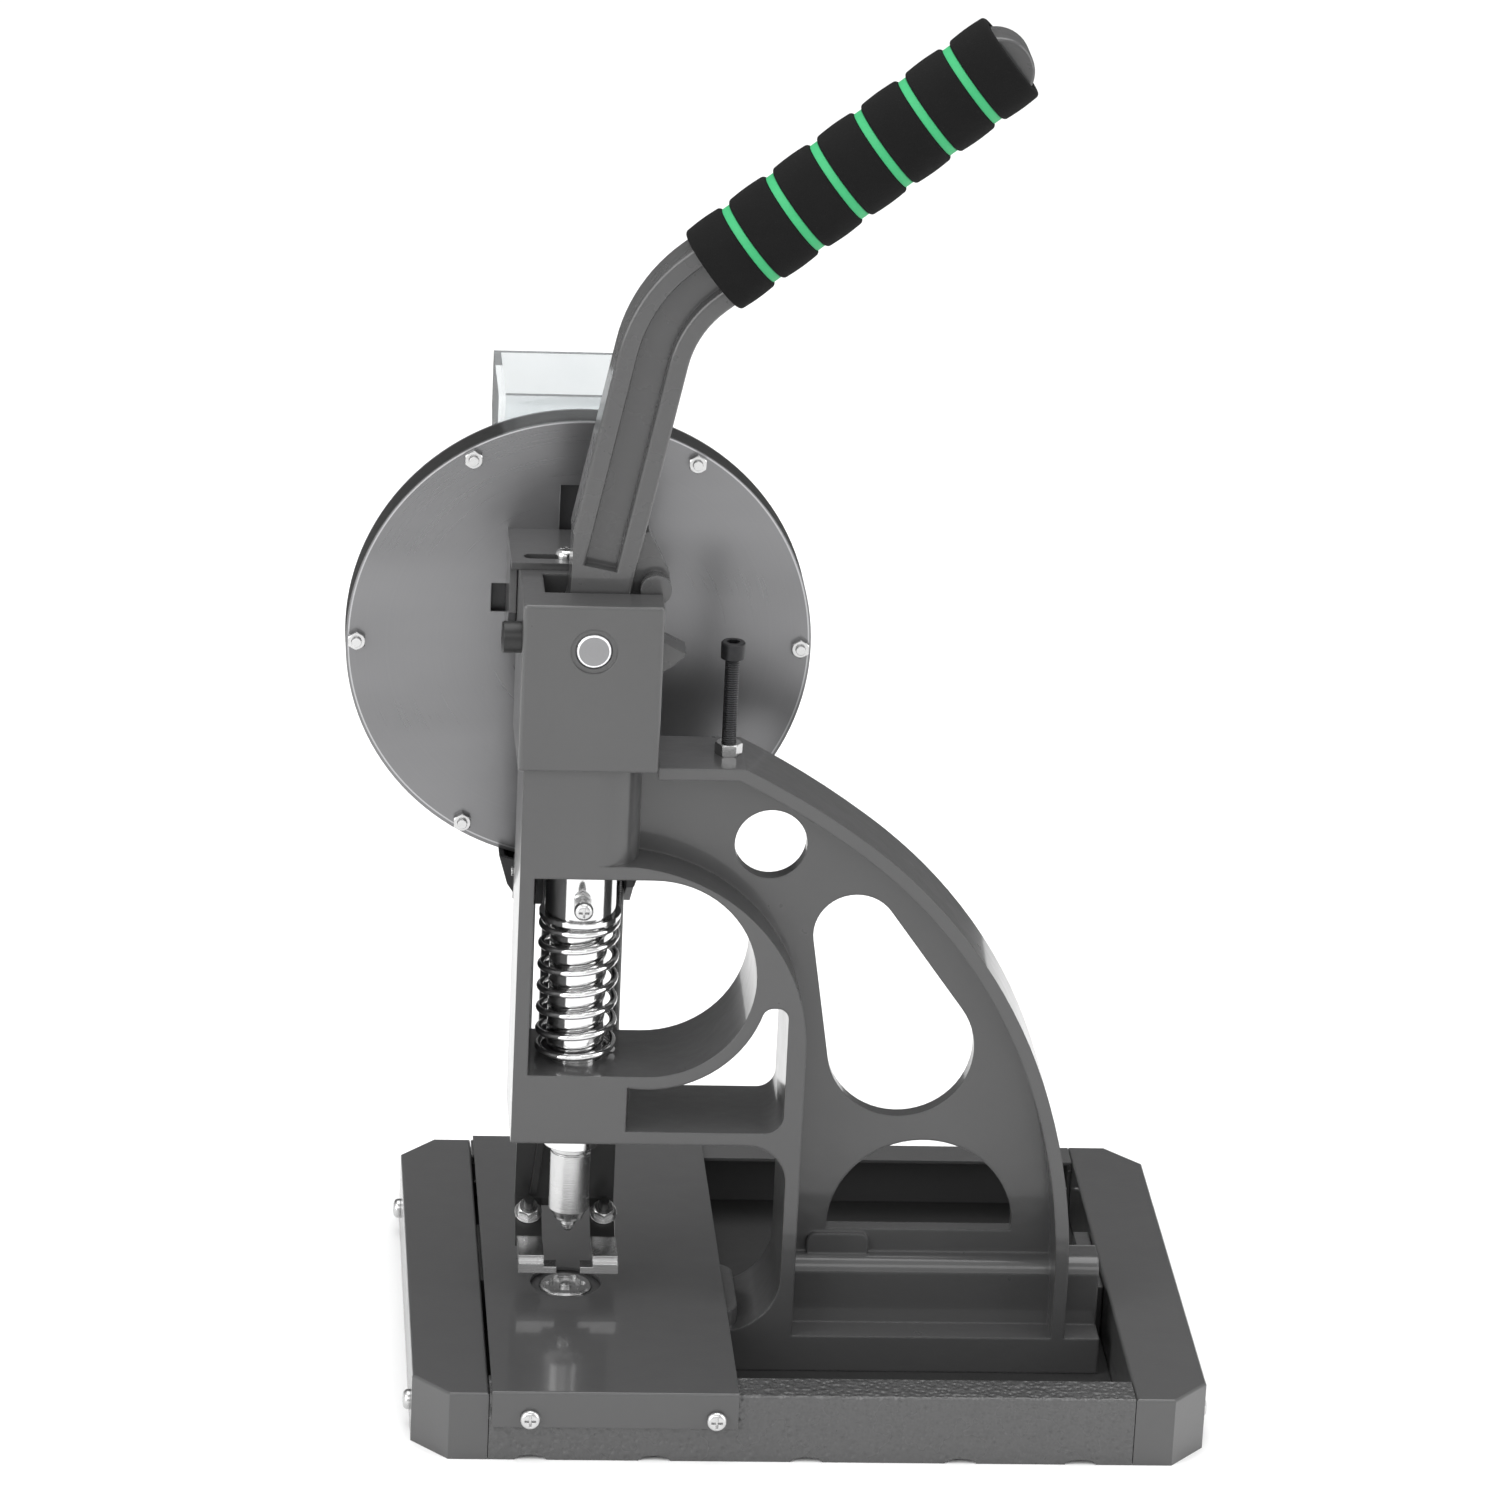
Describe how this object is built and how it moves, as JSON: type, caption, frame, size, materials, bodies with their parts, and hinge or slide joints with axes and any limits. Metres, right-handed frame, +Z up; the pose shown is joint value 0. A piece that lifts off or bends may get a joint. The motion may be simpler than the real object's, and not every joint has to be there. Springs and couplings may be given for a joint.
{
  "type": "hand lever grommet press",
  "caption": "Hand-lever press for setting grommets, with a cast arch frame, sprung ram and dies, a rear drum feeder with a chute and a grooved foam grip on a bent lever.",
  "frame": {"origin": "centre of the base's rectangular footprint, on the surface it stands on", "axes": "+Z up, +X from the ram towards the arch's foot, +Y from the operator's side towards the drum feeder"},
  "size_m": [0.3648, 0.262, 0.5866],
  "materials": {
    "grey_paint": "semi-gloss grey enamel over cast and sheet metal",
    "zinc_steel": "bright zinc plated steel",
    "chromed_steel": "polished",
    "die_steel": "fine turned and ground",
    "black_steel": "black oxide, satin",
    "drum_steel": "satin with a bright edge",
    "drum_rim": "semi-gloss",
    "black_plastic": "satin moulded",
    "bristle": "dense short bristle",
    "bearing_bronze": "turned",
    "clear_plastic": "clear, glossy",
    "black_foam": "matt closed-cell foam",
    "green_rubber": "satin"
  },
  "bodies": {
    "frame": {"front_channel": "grey_paint", "back_channel": "grey_paint", "left_end_cover": "grey_paint", "right_end_cover": "grey_paint", "end_cover_screws": "zinc_steel", "corner_screws": "zinc_steel", "bottom_plate": "black_steel", "table_plate": "grey_paint", "table_screws": "zinc_steel", "press_frame": "grey_paint", "lower_die": "die_steel", "lower_die_pin": "die_steel", "pivot_pin": "die_steel", "pin_lock_screw": "black_steel", "stop_bolt": "black_steel", "stop_nut": "zinc_steel", "head_side_screw": "zinc_steel", "tie_bolts": "zinc_steel", "tie_nuts": "zinc_steel", "drum_plate": "drum_steel", "drum_ring": "drum_rim", "drum_cover": "drum_steel", "drum_screws": "zinc_steel", "drum_nuts": "zinc_steel", "rotor_bush": "bearing_bronze", "cover_bush": "bearing_bronze", "hopper": "clear_plastic", "feeder_bracket": "grey_paint", "bracket_slot_screws": "zinc_steel", "bracket_drum_screws": "zinc_steel", "funnel": "black_plastic", "chute_hinge_pin": "zinc_steel"},
    "lever": {"lever": "grey_paint", "grip_segments": "black_foam", "grip_rings": "green_rubber"},
    "ram": {"ram_rod": "chromed_steel", "ram_collar": "chromed_steel", "collar_screw": "zinc_steel", "collar_nut": "zinc_steel", "spring_washer": "chromed_steel", "upper_die": "die_steel", "die_pin": "die_steel", "ram_spring": "chromed_steel"},
    "rotor": {"rotor_shaft": "zinc_steel", "rotor_disc": "black_plastic", "rotor_brush": "bristle", "ratchet_wheel": "black_steel"},
    "chute": {"chute_rail": "black_plastic", "chute_foot": "black_steel", "finger_left": "die_steel", "finger_right": "die_steel", "finger_studs": "black_steel", "finger_nuts": "zinc_steel", "chute_springs": "zinc_steel", "guide_blade": "black_steel"}
  },
  "joints": [
    {"name": "lever_hinge", "type": "hinge", "parent": "frame", "child": "lever", "pos_m": [-0.098, -0.023, 0.326], "axis": [0, 1, 0], "range_deg": [0, 68]},
    {"name": "ram_slide", "type": "slide", "parent": "frame", "child": "ram", "axis": [0, 0, -1], "range_m": [0, 0.024], "deforming": ["ram_spring"]},
    {"name": "chute_hinge", "type": "hinge", "parent": "frame", "child": "chute", "pos_m": [-0.098, 0.014, 0.204], "axis": [1, 0, 0], "range_deg": [0, 18]},
    {"name": "rotor_spin", "type": "hinge", "parent": "frame", "child": "rotor", "pos_m": [-0.0993, 0.045, 0.2984], "axis": [0, 1, 0], "continuous": true}
  ],
  "couplings": [
    {"joint": "ram_slide", "follows": "lever_hinge", "m_per_rad": 0.020222},
    {"joint": "chute_hinge", "follows": "lever_hinge", "ratio": 0.26471}
  ]
}
